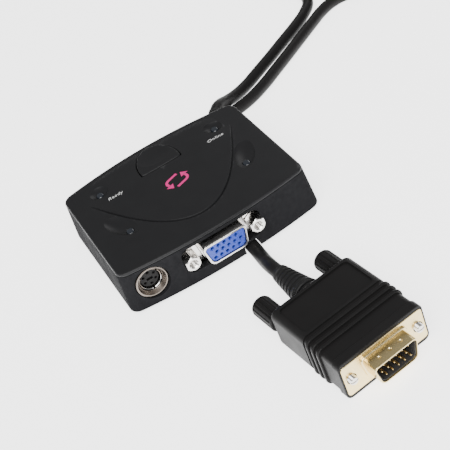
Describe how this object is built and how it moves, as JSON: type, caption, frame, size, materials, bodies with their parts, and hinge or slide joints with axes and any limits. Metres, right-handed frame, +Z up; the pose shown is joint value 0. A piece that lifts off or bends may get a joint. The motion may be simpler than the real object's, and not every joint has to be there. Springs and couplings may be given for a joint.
{
  "type": "kvm switch",
  "caption": "Small flat desktop switch box with bowed long sides, a raised panel with a press button, a video socket and round keyboard port in front, and a captive cord ending in a video plug.",
  "frame": {"origin": "on the surface that the case stands on, under the middle of the case's footprint with its ports; the free cord and plug are left out", "axes": "+X to the right along the long side, -Y towards the front with the ports, +Z up"},
  "size_m": [0.213, 0.2552, 0.0186],
  "materials": {
    "case_black": "fine satin moulded surface",
    "soft_black": "smooth moulded surface",
    "rubber": "matt rubber",
    "nickel": "bright nickel plate",
    "gold": "gold flash on steel",
    "brass": "gold flash on brass",
    "bezel_grey": "dull turned metal",
    "steel": "zinc-plated steel",
    "port_blue": "moulded, slight sheen",
    "board_green": "solder mask",
    "chip_black": "moulded epoxy",
    "lens_dark": "clear smoked window",
    "led_clear": "cast epoxy",
    "white_nylon": "moulded nylon",
    "aluminium_can": "drawn can"
  },
  "bodies": {
    "case": {"lower_shell": "case_black", "top_lid": "case_black", "foot_1": "rubber", "foot_2": "rubber", "foot_3": "rubber", "foot_4": "rubber", "blanking_plug": "rubber", "lead_relief": "rubber", "coil_tie": "rubber", "plug_relief": "rubber", "case_screw_1": "steel", "case_screw_2": "steel", "case_screw_3": "steel", "case_screw_4": "steel", "board_screw_1": "steel", "board_screw_2": "steel", "circuit_board": "board_green", "switch_body": "chip_black", "switching_chip": "chip_black", "video_chip": "chip_black", "memory_chip": "chip_black", "video_socket_body": "chip_black", "mini_din_housing": "chip_black", "plug_insulator": "chip_black", "mini_din_core": "soft_black", "inner_lead": "soft_black", "cord_out": "soft_black", "cord_back": "soft_black", "cord_coil": "soft_black", "plug_hood": "soft_black", "power_lens": "lens_dark", "power_led": "led_clear", "active_lens": "lens_dark", "active_led": "led_clear", "port_one_lens": "lens_dark", "port_one_led": "led_clear", "port_two_lens": "lens_dark", "port_two_led": "led_clear", "crystal": "aluminium_can", "capacitor_1": "aluminium_can", "capacitor_2": "aluminium_can", "lead_header": "white_nylon", "video_socket_shell": "nickel", "jackscrew_left": "nickel", "jackscrew_right": "nickel", "mini_din_shield": "nickel", "video_socket_insert": "port_blue", "mini_din_bezel": "bezel_grey", "plug_shell": "gold", "plug_pins": "brass"},
    "button": {"select_button": "case_black"},
    "switch_key": {"switch_plunger": "soft_black"},
    "left_thumbscrew": {"thumbscrew_left": "soft_black"},
    "right_thumbscrew": {"thumbscrew_right": "soft_black"}
  },
  "joints": [
    {"name": "button_press", "type": "slide", "parent": "case", "child": "button", "axis": [0, 0, -1], "range_m": [0, 0.0005], "stiffness_N_per_m": 600},
    {"name": "switch_press", "type": "slide", "parent": "case", "child": "switch_key", "axis": [0, 0, -1], "range_m": [0, 0.0005]},
    {"name": "left_thumbscrew_turn", "type": "hinge", "parent": "case", "child": "left_thumbscrew", "pos_m": [-0.0024, -0.07307, 0.0071], "axis": [0.1253, -0.9921, 0], "continuous": true},
    {"name": "right_thumbscrew_turn", "type": "hinge", "parent": "case", "child": "right_thumbscrew", "pos_m": [0.0224, -0.06993, 0.0071], "axis": [0.1253, -0.9921, 0], "continuous": true}
  ],
  "couplings": [
    {"joint": "switch_press", "follows": "button_press", "ratio": 1}
  ]
}
